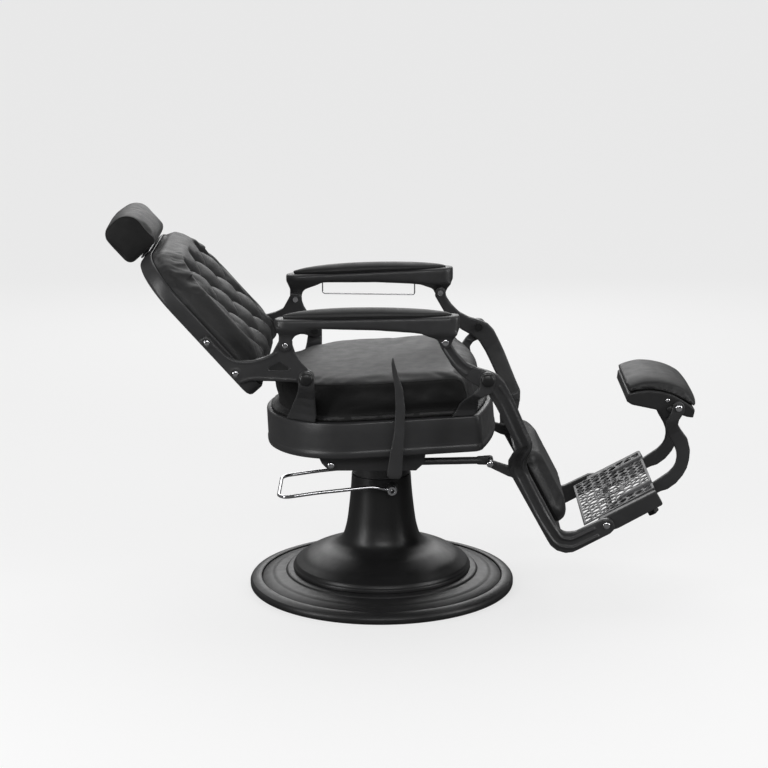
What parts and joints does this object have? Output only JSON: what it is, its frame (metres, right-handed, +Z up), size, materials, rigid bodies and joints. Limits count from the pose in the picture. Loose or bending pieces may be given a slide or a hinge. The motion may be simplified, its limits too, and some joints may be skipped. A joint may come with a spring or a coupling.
{
  "type": "barber chair",
  "caption": "Padded reclining barber chair: back, armrests and leg rest are linked, the seat swivels and rises on a foot-pumped column.",
  "frame": {"origin": "centre of the base on the floor", "axes": "+X the way the sitter faces, +Y the sitter's left, +Z up"},
  "size_m": [1.4321, 0.6672, 0.9531],
  "materials": {
    "base_iron": "satin",
    "steel_paint": "satin",
    "cast_paint": "satin",
    "steel": "satin",
    "chrome": "polished",
    "bronze": "satin",
    "plywood": "matte",
    "leatherette": "satin",
    "pan_plastic": "satin",
    "black_plastic": "satin"
  },
  "bodies": {
    "base": {"base_plate": "base_iron", "base_trim_ring": "steel_paint", "column_skirt": "steel_paint", "pump_cylinder": "steel", "guide_bush": "bronze"},
    "ram": {"ram": "chrome", "thrust_bearing": "steel"},
    "chair": {"swivel_hub": "steel_paint", "underframe": "steel_paint", "seat_box": "cast_paint", "seat_board": "plywood", "seat_cushion": "leatherette", "front_bracket_r": "cast_paint", "front_bracket_l": "cast_paint", "rear_bracket_r": "cast_paint", "rear_bracket_l": "cast_paint", "front_pivot_bolt_r": "steel_paint", "front_pivot_bolt_l": "steel_paint", "rear_pivot_bolt_r": "steel_paint", "rear_pivot_bolt_l": "steel_paint", "lock_anchor_bolt": "chrome"},
    "back": {"back_shell": "cast_paint", "back_cushion": "leatherette", "back_plate_r": "cast_paint", "back_plate_l": "cast_paint", "back_bolt_upper_r": "chrome", "back_bolt_upper_l": "chrome", "back_bolt_lower_r": "chrome", "back_bolt_lower_l": "chrome", "armrest_screw_rear_r": "chrome", "armrest_screw_rear_l": "chrome"},
    "headrest": {"headrest_cushion": "leatherette", "headrest_bracket": "steel"},
    "right_armrest": {"armrest_r": "cast_paint", "armrest_pad_r": "leatherette"},
    "left_armrest": {"armrest_l": "cast_paint", "armrest_pad_l": "leatherette", "towel_bar": "chrome"},
    "legrest": {"leg_arm_r": "cast_paint", "leg_arm_l": "cast_paint", "calf_plate": "cast_paint", "calf_pad": "leatherette", "crank_pin": "chrome", "tray_bolt_r": "chrome", "tray_bolt_l": "chrome", "armrest_screw_front_r": "chrome", "armrest_screw_front_l": "chrome"},
    "foot_tray_body": {"foot_tray": "cast_paint", "tray_rail_r": "cast_paint", "tray_rail_l": "cast_paint"},
    "extension": {"extension_bars": "cast_paint", "foot_bolt_r": "chrome", "foot_bolt_l": "chrome"},
    "foot_pad": {"foot_pan": "pan_plastic", "foot_cushion": "leatherette"},
    "knob": {"clamp_knob": "black_plastic"},
    "pump_lever": {"pump_handle": "chrome"},
    "release_lever": {"side_lever": "cast_paint"},
    "lock_rod_body": {"lock_rod": "steel"},
    "lock_cylinder_body": {"lock_cylinder": "cast_paint"}
  },
  "joints": [
    {"name": "lift", "type": "slide", "parent": "base", "child": "ram", "axis": [0, 0, 1], "range_m": [0, 0.16]},
    {"name": "swivel", "type": "hinge", "parent": "ram", "child": "chair", "pos_m": [0, 0, 0.2847], "axis": [0, 0, 1], "continuous": true},
    {"name": "back_recline", "type": "hinge", "parent": "chair", "child": "back", "pos_m": [-0.172, 0, 0.5912], "axis": [0, 1, 0], "range_deg": [0, 28]},
    {"name": "headrest_height", "type": "slide", "parent": "back", "child": "headrest", "axis": [-0.6626, 0, 0.749], "range_m": [0, 0.1]},
    {"name": "right_armrest_swing", "type": "hinge", "parent": "back", "child": "right_armrest", "pos_m": [-0.22, -0.28, 0.6718], "axis": [0, 1, 0], "range_deg": [-31, 0]},
    {"name": "left_armrest_swing", "type": "hinge", "parent": "back", "child": "left_armrest", "pos_m": [-0.22, 0.28, 0.6718], "axis": [0, 1, 0], "range_deg": [-31, 0]},
    {"name": "legrest_swing", "type": "hinge", "parent": "chair", "child": "legrest", "pos_m": [0.2511, 0, 0.5935], "axis": [0, 1, 0], "range_deg": [0, 23.5]},
    {"name": "tray_fold", "type": "hinge", "parent": "legrest", "child": "foot_tray_body", "pos_m": [0.543, 0, 0.208], "axis": [0, 1, 0], "range_deg": [-25, 15]},
    {"name": "foot_extension", "type": "slide", "parent": "foot_tray_body", "child": "extension", "axis": [0.8746, 0, 0.4848], "range_m": [0, 0.05]},
    {"name": "foot_pad_tilt", "type": "hinge", "parent": "extension", "child": "foot_pad", "pos_m": [0.7175, 0, 0.4824], "axis": [0, 1, 0], "range_deg": [-3.5, 20]},
    {"name": "clamp_knob_turn", "type": "hinge", "parent": "foot_tray_body", "child": "knob", "pos_m": [0.64905, -0.112, 0.24357], "axis": [0.4848, 0, -0.8746], "continuous": true},
    {"name": "pump_stroke", "type": "hinge", "parent": "base", "child": "pump_lever", "pos_m": [0.027, 0, 0.265], "axis": [0, 1, 0], "range_deg": [-25, 0], "stiffness_Nm_per_rad": 8, "springref_deg": 14.32},
    {"name": "release_pull", "type": "hinge", "parent": "chair", "child": "release_lever", "pos_m": [0.034, -0.29, 0.366], "axis": [0, 1, 0], "range_deg": [-15, 0], "stiffness_Nm_per_rad": 5, "springref_deg": 17.19},
    {"name": "lock_rod_swing", "type": "hinge", "parent": "chair", "child": "lock_rod_body", "pos_m": [-0.1189, -0.17, 0.3554], "axis": [0, 1, 0], "range_deg": [-2.5, 0]},
    {"name": "lock_travel", "type": "slide", "parent": "lock_rod_body", "child": "lock_cylinder_body", "axis": [0.9998, 0, 0.0173], "range_m": [-0.093, 0]}
  ],
  "couplings": [
    {"joint": "right_armrest_swing", "follows": "back_recline", "ratio": -1.0995},
    {"joint": "left_armrest_swing", "follows": "back_recline", "ratio": -1.0995},
    {"joint": "legrest_swing", "follows": "back_recline", "ratio": 0.8242},
    {"joint": "lock_rod_swing", "follows": "back_recline", "ratio": -0.0854},
    {"joint": "lock_travel", "follows": "back_recline", "m_per_rad": -0.18722}
  ]
}
